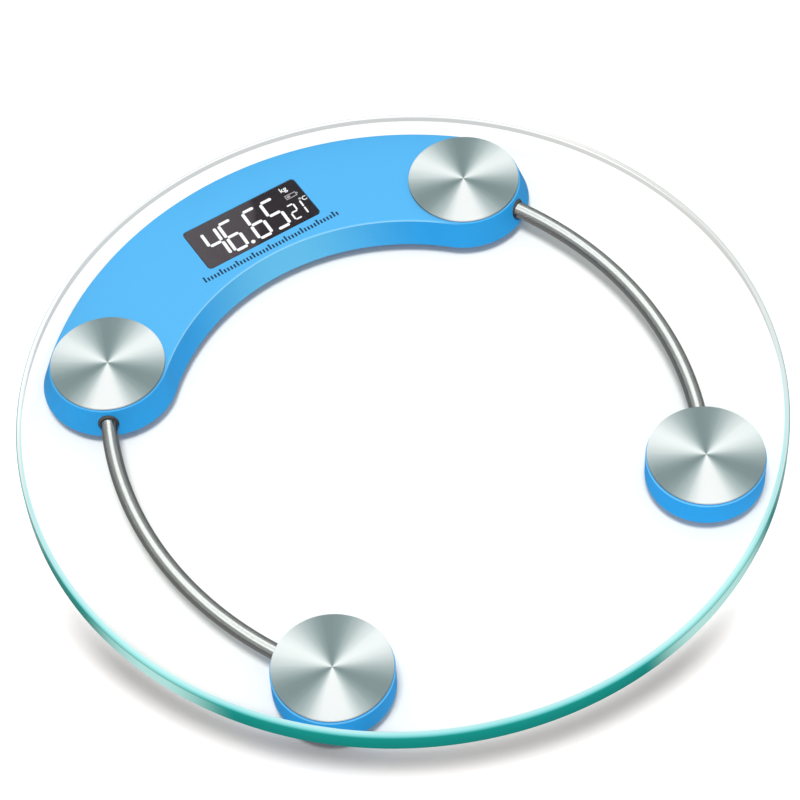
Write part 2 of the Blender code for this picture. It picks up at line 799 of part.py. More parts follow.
def make_leads():
    """One lead from each load cell to the circuit board; the front two run inside the tubes."""
    for side in ("left", "right"):
        front, back = "front_" + side, "back_" + side
        sx = FEET[back][0]
        # Heights where a lead dips under its load cell, by distance from the foot's centre
        dip = ((9.0, 8.4), (15.0, 8.6), (19.5, 9.9), (24.0, 10.9))
        route = [tube_point(front, d, z) for d, z in dip]
        reach = tube_angle(30.0)
        for i in range(9):
            x, y = polar(TUBE_BEND_R, reach * (i / 4 - 1), (TUBE_CENTRE_X, 0.0))
            route.append((sx * x, y, TUBE_Z))
        route += [tube_point(back, d, z) for d, z in reversed(dip[1:])]
        inside = [polar(10.5, -120, (FOOT_X, FOOT_X)), polar(11.0, -165, (FOOT_X, FOOT_X))]
        inside += [polar(113.5, a) for a in (53, 59, 65, 71)]
        inside.append((28.0, 116.0))
        route += [(sx * x, y, 7.8) for x, y in inside]
        lead = round_wire(smooth_route(route, 6.0), LEAD_R, 2)
        as_part(lead, "cell_lead_" + front, "grey_wire")

        inside = [polar(9.5, 170, (FOOT_X, FOOT_X))]
        inside += [polar(117.0, a) for a in (54, 60, 66, 72)]
        inside.append((29.0, 120.0))
        route = [(sx * x, y, 7.8) for x, y in inside]
        lead = round_wire(smooth_route(route, 5.0), LEAD_R, 2)
        as_part(lead, "cell_lead_" + back, "grey_wire")


def main():
    clear_file()
    make_materials()
    make_glass()
    for foot in FEET:
        make_foot(foot)
    make_arc_housing()
    make_arc_cover()
    for foot in ("front_left", "front_right"):
        make_pod(foot)
        make_grommet(foot, POD_R - WALL / 2)
    for foot in ("back_left", "back_right"):
        make_grommet(foot, arc_wall_half() - GROMMET_SET_BACK)
    for side in ("left", "right"):
        make_tube(side)
    make_screws()
    make_display()
    make_electronics()
    make_unit_button()
    make_battery()
    make_leads()


main()
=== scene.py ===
"""Looks for the round glass weighing scale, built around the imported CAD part.

Lengths below are in millimetres unless they come from the frame, which is in metres.
"""

import json
import math

import bmesh
import bpy
from mathutils import Matrix, Vector


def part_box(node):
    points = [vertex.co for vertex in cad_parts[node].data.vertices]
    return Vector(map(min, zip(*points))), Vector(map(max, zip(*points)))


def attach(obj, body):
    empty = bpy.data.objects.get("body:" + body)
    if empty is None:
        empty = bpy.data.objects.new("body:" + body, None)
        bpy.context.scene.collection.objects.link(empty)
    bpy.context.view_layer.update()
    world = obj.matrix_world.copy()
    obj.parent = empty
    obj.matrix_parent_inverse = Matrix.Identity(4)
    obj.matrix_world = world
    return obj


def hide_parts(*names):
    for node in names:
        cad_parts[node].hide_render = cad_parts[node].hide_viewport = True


MM = 0.001
FEET = ("back_left", "back_right", "front_left", "front_right")

# Camera
AZIMUTH = -29.58
ELEVATION = 53.52
ROLL = -3.83
DISTANCE = 1.2272
LENS = 129.41
TARGET = Vector((-0.0007, -0.0001, 0.0291))

# Glass edge: half axes of the round at its top, the chamfer below, and the tinted skin
EDGE_OUT, EDGE_DOWN = 2.4, 1.6
LOWER_CHAMFER = 0.8
SKIN = 0.35
SKIN_GAP = 0.05
# The turn of the rim's painted reflection zones, in degrees
REFLECTION_ZONE_ANGLE = 19.4
RIM_STEPS = 256

# The angle of the brightest painted highlight lobe on each turned disc, in degrees
WHITE_GLINT_ANGLE = 240.0

# Light
AMBIENT = 0.62
BACKDROP = 0.93
SUN = 2.2
SUN_ANGLE = 18.0

# The room as it is mirrored, by the height it is seen at, from straight down (0) to straight up (1)
MIRRORED_ROOM = (
    (0.0, 0.20),
    (0.5, 0.14),
    (0.66, 0.20),
    (0.80, 0.34),
    (0.86, 0.60),
    (0.885, 1.50),
    (0.93, 1.50),
    (0.97, 1.15),
    (1.0, 0.90),
)
FLAG_CORE, FLAG_EDGE, FLAG_SHADE = 10, 18, 0.12

# A card below the rim that shades the floor: its angles, its circle and width, and its height
SHADE_CENTRE, SHADE_REACH, SHADE_FULL = -124.0, 66.0, 42.0
SHADE_R, SHADE_GROWTH, SHADE_WIDTH = 158.4, 14.0, 27.0
SHADE_Z, SHADE_DEPTH = 3.0, 0.74

# Housings
FILLET = 1.0
WALL = 1.8
FOOT_CIRCLE_R = 131.4
BOSS_R = 2.8
PILOT_R = 1.3
TIP_ROOM = 0.8
ARC_SCREWS = ((58, FOOT_CIRCLE_R), (78, 149.0), (102, 149.0), (122, FOOT_CIRCLE_R))

# Half the arc housing's width where its sloping side meets the fillet
ARC_TOP_HALF = 25.9

# Tubes: one bend from pod to arc housing, and the seats in the housings that hold their seals
TUBE_BEND_R = 163.0
TUBE_WALL = 0.7
SEAT_R, SEAT_LENGTH = 4.65, 9.0

# How finely the rolling lines of sheet metal follow each other along X, Y and Z
SHEET_LINES = (60.0, 1500.0, 60.0)

# Display characters, in the plane of the lens
DIGIT_W, DIGIT_H = 8.0, 19.0
DIGIT_BOTTOM = 115.2
BAR = 1.55
SLANT = math.tan(math.radians(2.0))
INK = 0.04
TICK_Y, TICK_W, TICK_SHORT, TICK_TALL = 107.8, 0.85, 2.1, 3.3
TICK_COUNT, TICK_START, TICK_ROW = 42, -34.0, 69.0


# Node graphs


def add(tree, kind, **settings):
    n = tree.nodes.new(kind)
    for key, value in settings.items():
        setattr(n, key, value)
    return n


def math_node(tree, operation, a, b=None, clamp=False):
    n = add(tree, "ShaderNodeMath", operation=operation, use_clamp=clamp)
    for socket, value in zip(n.inputs, (a, b)):
        if isinstance(value, (int, float)):
            socket.default_value = value
        elif value is not None:
            tree.links.new(value, socket)
    return n.outputs[0]


def spread(tree, value, low, high, to_low=0.0, to_high=1.0, smooth=False):
    """The value mapped from one range to another, held at its ends."""
    n = add(tree, "ShaderNodeMapRange", interpolation_type="SMOOTHSTEP" if smooth else "LINEAR")
    tree.links.new(value, n.inputs["Value"])
    names = ("From Min", "From Max", "To Min", "To Max")
    for name, number in zip(names, (low, high, to_low, to_high)):
        n.inputs[name].default_value = number
    return n.outputs["Result"]


def parts_of(tree, where):
    """The X, Y and Z of a vector."""
    n = add(tree, "ShaderNodeSeparateXYZ")
    tree.links.new(where, n.inputs[0])
    return n.outputs["X"], n.outputs["Y"], n.outputs["Z"]


def noise(tree, where, scale, detail=2.0, roughness=0.5):
    n = add(tree, "ShaderNodeTexNoise")
    tree.links.new(where, n.inputs["Vector"])
    n.inputs["Scale"].default_value = scale
    n.inputs["Detail"].default_value = detail
    n.inputs["Roughness"].default_value = roughness
    return n.outputs["Fac"]


def ramp(tree, value, stops):
    """A colour ramp through (place, colour) stops."""
    n = add(tree, "ShaderNodeValToRGB")
    tree.links.new(value, n.inputs["Fac"])
    elements = n.color_ramp.elements
    while len(elements) < len(stops):
        elements.new(0.5)
    for element, (place, colour) in zip(elements, stops):
        element.position = place
        element.color = (*colour, 1.0)
    return n.outputs["Color"]


def centred(tree, value, swing):
    """A value from 0 to 1 as a swing to either side of nothing."""
    return math_node(tree, "MULTIPLY", math_node(tree, "SUBTRACT", value, 0.5), swing)


def mixed(tree, share, first, second):
    """A first colour from the tree mixed with a plain second one."""
    n = add(tree, "ShaderNodeMix", data_type="RGBA")
    tree.links.new(share, n.inputs[0])
    tree.links.new(first, n.inputs[6])
    n.inputs[7].default_value = (*second, 1.0)
    return n.outputs[2]


def bump(tree, shader, height, strength, distance):
    n = add(tree, "ShaderNodeBump")
    n.inputs["Strength"].default_value = strength
    n.inputs["Distance"].default_value = distance
    tree.links.new(height, n.inputs["Height"])
    tree.links.new(n.outputs["Normal"], shader.inputs["Normal"])


def new_material(name, **sockets):
    """A Principled material, its tree, its shader and its object coordinates."""
    mat = bpy.data.materials.new(name)
    mat.use_nodes = True
    tree = mat.node_tree
    shader = tree.nodes["Principled BSDF"]
    for key, value in sockets.items():
        shader.inputs[key.replace("_", " ")].default_value = value
    where = add(tree, "ShaderNodeTexCoord").outputs["Object"]
    return mat, tree, shader, where


def scaled(colour, share):
    return tuple(c * share for c in colour)


def moulded(name, colour, roughness, grain=0.12, specular=0.5, painted_highlights=None):
    """Moulded plastic or rubber: a slow drift of the pigment over a fine-grained skin."""
    mat, tree, shader, where = new_material(name)
    shader.inputs["Specular IOR Level"].default_value = specular
    drift = noise(tree, where, 45.0, 3.0)
    pigment = ramp(tree, drift, [(0.3, scaled(colour, 0.96)), (0.7, scaled(colour, 1.04))])
    # Painted highlights and paler parts go over the pigment here, if given
    if painted_highlights:
        pigment = painted_highlights(tree, where, pigment)
    tree.links.new(pigment, shader.inputs["Base Color"])
    skin = noise(tree, where, 3200.0, 2.0)
    gloss = spread(tree, skin, 0.3, 0.7, roughness - 0.05, roughness + 0.05)
    tree.links.new(gloss, shader.inputs["Roughness"])
    bump(tree, shader, skin, grain, 0.00005)
    return mat


def edge_line(tree, z, top):
    """A soft line round the edge just below this height, where a painted highlight goes."""
    rise = spread(tree, z, (top - 1.0) * MM, (top - 0.5) * MM, smooth=True)
    fall = spread(tree, z, (top - 0.5) * MM, top * MM, 1.0, 0.0, smooth=True)
    return math_node(tree, "MULTIPLY", rise, fall)


def painted_highlight_blue(tree, where, pigment):
    """The arc's pigment with painted light: a painted highlight at mid skirt, the level top painted paler for the
    light on it, and a painted highlight line along the edge between the discs.
    """
    x, _, z = parts_of(tree, where)
    top = span("arc_housing")[1].z
    aside = math_node(tree, "ABSOLUTE", math_node(tree, "SUBTRACT", x, 4 * MM))
    # Painted highlight: the middle of the skirt made pale
    skirt_highlight = spread(tree, aside, 3 * MM, 66 * MM, 0.95, 0.0, smooth=True)
    pigment = mixed(tree, skirt_highlight, pigment, (0.118, 0.530, 0.860))
    # The level top painted paler, for the light that falls on it
    top_painted_paler = spread(tree, z, (top - 0.4) * MM, (top - 0.1) * MM)
    pigment = mixed(tree, top_painted_paler, pigment, (0.080, 0.430, 0.820))
    # A painted highlight line along the upper edge, between the discs
    off_middle = math_node(tree, "ABSOLUTE", x)
    between = spread(tree, off_middle, 66 * MM, 80 * MM, 1.0, 0.0, smooth=True)
    edge_highlight = math_node(tree, "MULTIPLY", edge_line(tree, z, top), between)
    return mixed(tree, edge_highlight, pigment, (0.300, 0.680, 0.980))


def painted_highlight_pod(tree, where, pigment):
    """The pods' pigment, with a painted highlight line a little paler along the upper edge."""
    _, _, z = parts_of(tree, where)
    line = edge_line(tree, z, span("pod_housing_front_right")[1].z)
    return mixed(tree, math_node(tree, "MULTIPLY", line, 0.7), pigment, (0.240, 0.640, 1.0))


def drawn_metal(name, colour, roughness, direction_scale):
    """Rolled or drawn metal: fine lines along one direction and a slow change in gloss."""
    mat, tree, shader, where = new_material(name, Metallic=1.0)
    mapping = add(tree, "ShaderNodeMapping")
    mapping.inputs["Scale"].default_value = direction_scale
    tree.links.new(where, mapping.inputs["Vector"])
    lines = noise(tree, mapping.outputs["Vector"], 1.0, 3.0, 0.6)
    stops = [(0.3, scaled(colour, 0.85)), (0.7, scaled(colour, 1.08))]
    tree.links.new(ramp(tree, lines, stops), shader.inputs["Base Color"])
    gloss = spread(tree, lines, 0.3, 0.7, roughness - 0.06, roughness + 0.06)
    tree.links.new(gloss, shader.inputs["Roughness"])
    bump(tree, shader, lines, 0.05, 0.00003)
    return mat


def clear_glass():
    """Smooth glass that lets the lamps' rays straight through."""
    mat = bpy.data.materials.new("clear_glass_body")
    mat.use_nodes = True
    tree = mat.node_tree
    tree.nodes.clear()
    glass = add(tree, "ShaderNodeBsdfGlass")
    glass.inputs["Color"].default_value = (0.985, 1.0, 0.996, 1.0)
    glass.inputs["Roughness"].default_value = 0.0
    glass.inputs["IOR"].default_value = 1.5
    clear = add(tree, "ShaderNodeBsdfTransparent")
    clear.inputs["Color"].default_value = (1.0, 1.0, 1.0, 1.0)
    path = add(tree, "ShaderNodeLightPath")
    mix = add(tree, "ShaderNodeMixShader")
    out = add(tree, "ShaderNodeOutputMaterial")
    tree.links.new(path.outputs["Is Shadow Ray"], mix.inputs[0])
    tree.links.new(glass.outputs[0], mix.inputs[1])
    tree.links.new(clear.outputs[0], mix.inputs[2])
    tree.links.new(mix.outputs[0], out.inputs["Surface"])
    return mat


def glass_edge():
    """The green look of glass seen edge on: pale on the round at the top, deep on the wall.

    Four broad zones round the wall are painted paler, as painted reflections, and what is seen at a grazing angle
    is painted grey, near white on the far side, as a painted reflection.
    """
    mat, tree, shader, where = new_material("glass_edge")
    shader.inputs["Specular IOR Level"].default_value = 0.06
    x, y, z = parts_of(tree, where)
    low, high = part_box("glass_platform")
    height = spread(tree, z, low.z, high.z)
    cloud = centred(tree, noise(tree, where, 16.0, 2.0), 0.05)
    lifted = math_node(tree, "ADD", height, cloud)
    stops = [
        (0.0, (0.012, 0.200, 0.180)),
        (0.10, (0.002, 0.225, 0.195)),
        (0.70, (0.002, 0.270, 0.235)),
        (0.85, (0.008, 0.290, 0.255)),
        (0.89, (0.045, 0.370, 0.345)),
        (0.93, (0.140, 0.500, 0.495)),
        (0.965, (0.250, 0.620, 0.630)),
        (1.0, (0.440, 0.690, 0.700)),
    ]
    wall = ramp(tree, lifted, stops)
    # Painted reflections: four broad paler zones round the wall
    four_turns = math_node(tree, "MULTIPLY", math_node(tree, "ARCTAN2", y, x), 4.0)
    turn = math_node(tree, "SUBTRACT", four_turns, math.radians(4 * REFLECTION_ZONE_ANGLE))
    unevenness = centred(tree, noise(tree, where, 9.0, 1.0), 0.5)
    wave = math_node(tree, "ADD", math_node(tree, "COSINE", turn), unevenness)
    reflection_zone = spread(tree, wave, 0.45, 1.0, smooth=True)
    reflection_zone = math_node(tree, "MULTIPLY", reflection_zone, spread(tree, height, 0.74, 0.84, 1.0, 0.35))
    pale = mixed(tree, reflection_zone, wall, (0.500, 0.840, 0.800))
    # Painted reflection: grey where the edge is seen at a grazing angle, near white on the far side
    layer = add(tree, "ShaderNodeLayerWeight")
    layer.inputs["Blend"].default_value = 0.5
    facing = layer.outputs["Facing"]
    aslant = spread(tree, facing, 0.20, 0.28, smooth=True)
    on_round = math_node(tree, "MULTIPLY", spread(tree, height, 0.925, 0.95), aslant)
    grazing_reflection = math_node(tree, "MAXIMUM", on_round, spread(tree, facing, 0.88, 0.97, smooth=True))
    grey = mixed(tree, grazing_reflection, pale, (0.640, 0.640, 0.630))
    far_side_reflection = spread(tree, y, 40 * MM, 110 * MM, 0.0, 0.9, smooth=True)
    back = math_node(tree, "MULTIPLY", grazing_reflection, far_side_reflection)
    tree.links.new(mixed(tree, back, grey, (0.860, 0.860, 0.850)), shader.inputs["Base Color"])
    streaks = noise(tree, where, 420.0, 2.0)
    tree.links.new(spread(tree, streaks, 0.3, 0.7, 0.12, 0.22), shader.inputs["Roughness"])
    return mat


def inner_wall():
    """The glass's side wall as seen from within: clear above, a grey line along its foot."""
    mat = bpy.data.materials.new("glass_wall_within")
    mat.use_nodes = True
    tree = mat.node_tree
    tree.nodes.clear()
    clear = add(tree, "ShaderNodeBsdfTransparent")
    _, _, z = parts_of(tree, add(tree, "ShaderNodeTexCoord").outputs["Object"])
    low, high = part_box("glass_platform")
    height = spread(tree, z, low.z, high.z)
    stops = [
        (0.0, (0.56, 0.56, 0.555)),
        (0.24, (0.58, 0.58, 0.575)),
        (0.36, (0.97, 0.97, 0.97)),
        (1.0, (0.99, 0.99, 0.99)),
    ]
    tree.links.new(ramp(tree, height, stops), clear.inputs["Color"])
    out = add(tree, "ShaderNodeOutputMaterial")
    tree.links.new(clear.outputs[0], out.inputs["Surface"])
    return mat


def brushed_disc():
    """Turned steel with three broad painted highlight lobes, painted reflections of the lights, and fine rings
    about the centre.
    """
    mat, tree, shader, where = new_material("turned_steel", Metallic=0.30)
    x, y, _ = parts_of(tree, where)
    angle = math_node(tree, "ARCTAN2", y, x)
    lobes = math_node(tree, "COSINE", math_node(tree, "MULTIPLY", angle, 3.0))
    x_squared, y_squared = (math_node(tree, "MULTIPLY", v, v) for v in (x, y))
    radius = math_node(tree, "SQRT", math_node(tree, "ADD", x_squared, y_squared))
    ring = add(tree, "ShaderNodeCombineXYZ")
    tree.links.new(radius, ring.inputs["X"])
    rings = noise(tree, ring.outputs[0], 5200.0, 4.0, 0.7)
    streak_at = add(tree, "ShaderNodeCombineXYZ")
    tree.links.new(angle, streak_at.inputs["X"])
    streaks = noise(tree, streak_at.outputs[0], 9.0, 4.0, 0.6)
    # Painted highlights: three bright lobes by angle, with streaks and rings on top
    glint_and_grain = math_node(tree, "ADD", math_node(tree, "MULTIPLY", lobes, 0.5), 0.5)
    glint_and_grain = math_node(tree, "ADD", glint_and_grain, centred(tree, streaks, 0.16))
    glint_and_grain = math_node(tree, "ADD", glint_and_grain, centred(tree, rings, 0.10))
    stops = [
        (0.0, (0.220, 0.282, 0.288)),
        (0.15, (0.275, 0.345, 0.352)),
        (0.5, (0.490, 0.560, 0.560)),
        (0.86, (0.790, 0.840, 0.835)),
        (1.0, (0.930, 0.960, 0.955)),
    ]
    # The brightest lobe is painted near white, a painted highlight
    from_white = math_node(tree, "SUBTRACT", angle, math.radians(WHITE_GLINT_ANGLE))
    white_glint = spread(tree, math_node(tree, "COSINE", from_white), 0.88, 1.0, smooth=True)
    share = math_node(tree, "MULTIPLY", white_glint, glint_and_grain, clamp=True)
    steel = mixed(tree, share, ramp(tree, glint_and_grain, stops), (0.97, 0.97, 0.97))
    tree.links.new(steel, shader.inputs["Base Color"])
    tree.links.new(spread(tree, rings, 0.3, 0.7, 0.46, 0.54), shader.inputs["Roughness"])
    bump(tree, shader, rings, 0.08, 0.00002)
    return mat


def tube_steel():
    """Bright bent tube with faint drawing lines."""
    mat, tree, shader, where = new_material("bright_tube", Metallic=1.0)
    lines = noise(tree, where, 900.0, 3.0, 0.6)
    stops = [(0.3, (0.76, 0.75, 0.74)), (0.7, (0.82, 0.81, 0.80))]
    tree.links.new(ramp(tree, lines, stops), shader.inputs["Base Color"])
    tree.links.new(spread(tree, lines, 0.3, 0.7, 0.12, 0.16), shader.inputs["Roughness"])
    return mat


def smoked_lens():
    """Smoked acrylic with a painted reflection: a little greyer over the reading's left part, on a leaning border.
    """
    mat, tree, shader, where = new_material("smoked_acrylic")
    shader.inputs["Specular IOR Level"].default_value = 0.06
    x, y, _ = parts_of(tree, where)
    # Painted reflection: the left part paler, up to a leaning border
    reflection_border_lean = math_node(tree, "MULTIPLY", math_node(tree, "SUBTRACT", y, 127.2 * MM), 0.43)
    side = math_node(tree, "SUBTRACT", math_node(tree, "SUBTRACT", x, 3.7 * MM), reflection_border_lean)
    drift = centred(tree, noise(tree, where, 90.0, 2.0), 4 * MM)
    place = spread(tree, math_node(tree, "ADD", side, drift), -34 * MM, 26 * MM)
    stops = [
        (0.0, (0.075, 0.062, 0.070)),
        (0.52, (0.060, 0.048, 0.056)),
        (0.57, (0.020, 0.013, 0.018)),
        (1.0, (0.014, 0.009, 0.013)),
    ]
    tree.links.new(ramp(tree, place, stops), shader.inputs["Base Color"])
    scuffs = noise(tree, where, 700.0, 3.0)
    tree.links.new(spread(tree, scuffs, 0.3, 0.7, 0.05, 0.12), shader.inputs["Roughness"])
    return mat


def printed(name, colour, roughness=0.6):
    """Printed or lit character faces, with a slight mottle."""
    mat, tree, shader, where = new_material(name)
    mottle = noise(tree, where, 600.0, 2.0)
    stops = [(0.3, scaled(colour, 0.94)), (0.7, colour)]
    tree.links.new(ramp(tree, mottle, stops), shader.inputs["Base Color"])
    shader.inputs["Roughness"].default_value = roughness
    shader.inputs["Specular IOR Level"].default_value = 0.2
    return mat


def make_materials():
    return {
        "clear_glass": clear_glass(),
        "glass_edge": glass_edge(),
        "inner_wall": inner_wall(),
        "blue_plastic": moulded(
            "sky_blue_plastic", (0.0, 0.335, 0.800), 0.44, specular=0.25, painted_highlights=painted_highlight_blue
        ),
        # The arc's sky blue in a brighter copy for the pods, painted lighter for the light that falls on them
        "pod_plastic_painted_lighter": moulded(
            "pod_blue_painted_lighter", (0.0, 0.400, 0.980), 0.44, specular=0.12, painted_highlights=painted_highlight_pod
        ),
        "dark_blue_plastic": moulded("deep_blue_plastic", (0.030, 0.260, 0.640), 0.50),
        "brushed_steel": brushed_disc(),
        "polished_steel": tube_steel(),
        "coin_steel": drawn_metal("coin_steel", (0.72, 0.73, 0.74), 0.24, (900.0, 40.0, 900.0)),
        "spring_steel": drawn_metal("sheet_steel", (0.50, 0.51, 0.53), 0.36, SHEET_LINES),
        "contact_brass": drawn_metal("contact_brass", (0.78, 0.56, 0.24), 0.30, SHEET_LINES),
        "black_rubber": moulded("black_rubber", (0.028, 0.028, 0.030), 0.80, 0.35, 0.3),
        "seal_rubber": moulded("seal_rubber", (0.085, 0.080, 0.076), 0.70, 0.35, 0.3),
        "white_plastic": moulded("white_plastic", (0.78, 0.78, 0.76), 0.46),
        "black_plastic": moulded("black_plastic", (0.035, 0.035, 0.040), 0.45),
        "smoked_lens": smoked_lens(),
        "green_laminate": moulded("green_laminate", (0.020, 0.210, 0.075), 0.40, 0.05),
        "grey_wire": moulded("grey_wire", (0.33, 0.34, 0.36), 0.48, 0.05),
        "white_print": printed("white_character", (0.95, 0.95, 0.95)),
        "dim_print": printed("dim_character", (0.45, 0.42, 0.44)),
        "dark_print": printed("dark_ink", (0.006, 0.030, 0.075)),
    }


# Meshes


def from_bmesh(name, bm):
    bmesh.ops.recalc_face_normals(bm, faces=bm.faces)
    mesh = bpy.data.meshes.new(name)
    bm.to_mesh(mesh)
    bm.free()
    obj = bpy.data.objects.new(name, mesh)
    bpy.context.scene.collection.objects.link(obj)
    return obj


def applied(obj):
    """The object with its modifiers made part of its mesh."""
    bpy.context.view_layer.update()
    graph = bpy.context.evaluated_depsgraph_get()
    mesh = bpy.data.meshes.new_from_object(obj.evaluated_get(graph))
    obj.modifiers.clear()
    obj.data = mesh
    return obj


def polar(radius, degrees, centre=(0.0, 0.0)):
    a = math.radians(degrees)
    return centre[0] + radius * math.cos(a), centre[1] + radius * math.sin(a)


def lofted(name, loops, closed=False):
    """A closed body through loops of points, capped at both ends or closed end to end."""
    bm = bmesh.new()
    rows = [[bm.verts.new(Vector(p) * MM) for p in loop] for loop in loops]
    count = len(rows[0])
    pairs = list(zip(rows, rows[1:]))
    if closed:
        pairs.append((rows[-1], rows[0]))
    for low, high in pairs:
        for i in range(count):
            j = (i + 1) % count
            bm.faces.new((low[i], low[j], high[j], high[i]))
    if not closed:
        bm.faces.new(rows[0])
        bm.faces.new(rows[-1])
    return from_bmesh(name, bm)


def turned(name, profile, steps, closed=False):
    """A profile of (radius, height) points turned about Z, with flat ends if it is open."""
    loops = [[(*polar(r, 360 * i / steps), z) for i in range(steps)] for r, z in profile]
    return lofted(name, loops, closed)


def prism(name, outline, bottom, top):
    return lofted(name, [[(x, y, bottom) for x, y in outline], [(x, y, top) for x, y in outline]])


def cylinder(radius, length, centre, direction, sides=64):
    obj = turned("cylinder", [(radius, -length / 2), (radius, length / 2)], sides)
    turn = Vector(direction).to_track_quat("Z", "Y").to_matrix().to_4x4()
    obj.data.transform(Matrix.Translation(Vector(centre) * MM) @ turn)
    return obj


def boolean(obj, operation, *tools):
    for tool in tools:
        mod = obj.modifiers.new(operation, "BOOLEAN")
        mod.operation = operation
        mod.solver = "EXACT"
        mod.object = tool
    applied(obj)
    for tool in tools:
        bpy.data.objects.remove(tool)
    return obj


def rounded_rectangle(size, corner, steps=10, at=(0.0, 0.0)):
    outline = []
    for sx, sy, start in ((1, 1, 0), (-1, 1, 90), (-1, -1, 180), (1, -1, 270)):
        centre = (at[0] + sx * (size[0] / 2 - corner), at[1] + sy * (size[1] / 2 - corner))
        outline += [polar(corner, start + 90 * i / steps, centre) for i in range(steps + 1)]
    return outline


def finished(obj, body, mat, slot, *nodes, edge=0.0, angle=32):
    """Shades a new piece, gives it its material and body, and hides the CAD nodes it replaces."""
    if edge:
        bevel = obj.modifiers.new("Edges", "BEVEL")
        bevel.width = edge * MM
        bevel.segments = 2
        bevel.limit_method = "ANGLE"
        bevel.angle_limit = math.radians(angle)
        applied(obj)
    obj.data.materials.clear()
    obj.data.materials.append(mat)
    obj.data.shade_smooth()
    obj.data.set_sharp_from_angle(angle=math.radians(angle))
    weighted = obj.modifiers.new("Normals", "WEIGHTED_NORMAL")
    weighted.keep_sharp = True
    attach(obj, body)
    if nodes:
        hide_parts(*nodes)
    return obj


# Places, read from the CAD nodes, in millimetres


def span(node):
    """A node's lowest and highest corner, in millimetres."""
    low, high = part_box(node)
    return low / MM, high / MM


def middle(node):
    low, high = span(node)
    return (low + high) / 2


def tube_place(foot, distance):
    """The point on a tube's centre line this far from a foot's centre, and the way on from it."""
    centre = middle("steel_disc_" + foot)
    sx, sy = math.copysign(1, centre.x), math.copysign(1, centre.y)
    reach = abs(centre.y)
    bend_x = abs(centre.x) - math.sqrt(TUBE_BEND_R**2 - reach**2)
    at_foot = math.asin(reach / TUBE_BEND_R)
    a = math.degrees(at_foot - 2 * math.asin(distance / 2 / TUBE_BEND_R))
    x, y = polar(TUBE_BEND_R, a, (bend_x, 0.0))
    direction = Vector((sx * math.sin(math.radians(a)), -sy * math.cos(math.radians(a)), 0.0))
    return Vector((sx * x, sy * y, middle("lead_tube_left").z)), direction


# Pieces


def edge_profile(inset):
    """The glass's outer profile from its top to its bottom, set in by this much."""
    low, high = span("glass_platform")
    outer = high.x
    a, b = EDGE_OUT - inset, EDGE_DOWN - inset
    centre = (outer - EDGE_OUT, high.z - EDGE_DOWN)
    steps = 10
    points = []
    for i in range(steps + 1):
        t = math.radians(90 - 90 * i / steps)
        points.append((centre[0] + a * math.cos(t), centre[1] + b * math.sin(t)))
    shift = inset * (math.sqrt(2) - 1)
    points.append((outer - inset, low.z + LOWER_CHAMFER + shift))
    points.append((outer - LOWER_CHAMFER - inset * math.sqrt(2), low.z))
    return points


def make_glass(mats):
    top = edge_profile(0.0)[0]
    first, *rest = edge_profile(SKIN + SKIN_GAP)
    profile = [(top[0] - SKIN_GAP, top[1]), (first[0] - SKIN_GAP, first[1]), *rest]
    body = turned("glass_body", profile, RIM_STEPS)
    finished(body, "scale_frame", mats["clear_glass"], "clear_glass", "glass_platform")
    body.visible_diffuse = False
    body.data.materials.append(mats["inner_wall"])
    for face in body.data.polygons:
        face.material_index = 0 if abs(face.normal.z) > 0.99 else 1
    outer, hidden = edge_profile(0.0), edge_profile(SKIN)
    rim = turned("glass_rim", [*outer, *reversed(hidden)], RIM_STEPS, closed=True)
    finished(rim, "scale_frame", mats["glass_edge"], "clear_glass", "glass_platform")
    rim.visible_shadow = rim.visible_transmission = False


def make_discs(mats):
    for foot in FEET:
        low, high = span("steel_disc_" + foot)
        centre = middle("steel_disc_" + foot)
        radius = (high.x - low.x) / 2
        half = (high.z - low.z) / 2
        edge = 0.22
        profile = [
            (radius - edge, half),
            (radius - 0.3 * edge, half - 0.3 * edge),
            (radius, half - edge),
            (radius, edge - half),
            (radius - edge, -half),
        ]
        disc = turned("turned_disc_" + foot, profile, 128)
        disc.location = centre * MM
        finished(disc, "scale_frame", mats["brushed_steel"], "brushed_steel", "steel_disc_" + foot)


def arc_outline(half, sweep=120, cap=48):
    """The band within half its width of the foot circle, with round ends about the back feet."""
    foot = middle("steel_disc_back_right")
    outline = [polar(FOOT_CIRCLE_R + half, 45 + 90 * i / sweep) for i in range(sweep)]
    outline += [polar(half, 135 + 180 * i / cap, (-foot.x, foot.y)) for i in range(cap)]
    outline += [polar(FOOT_CIRCLE_R - half, 135 - 90 * i / sweep) for i in range(sweep)]
    outline += [polar(half, 225 + 180 * i / cap, (foot.x, foot.y)) for i in range(cap)]
    return outline


def fillet(outer, top, steps=6):
    """A quarter round at the top outer edge, as (distance out, height) points from the side up."""
    points = []
    for i in range(steps + 1):
        t = math.radians(90 * i / steps)
        points.append((outer - FILLET + FILLET * math.cos(t), top - FILLET + FILLET * math.sin(t)))
    return points


def pillars(radius, places, low, top, sides):
    """Upright cylinders: the screws' bosses, or the tools that cut their pilot holes."""
    up = (0, 0, 1)
    return [cylinder(radius, top - low, (x, y, (low + top) / 2), up, sides) for x, y in places]


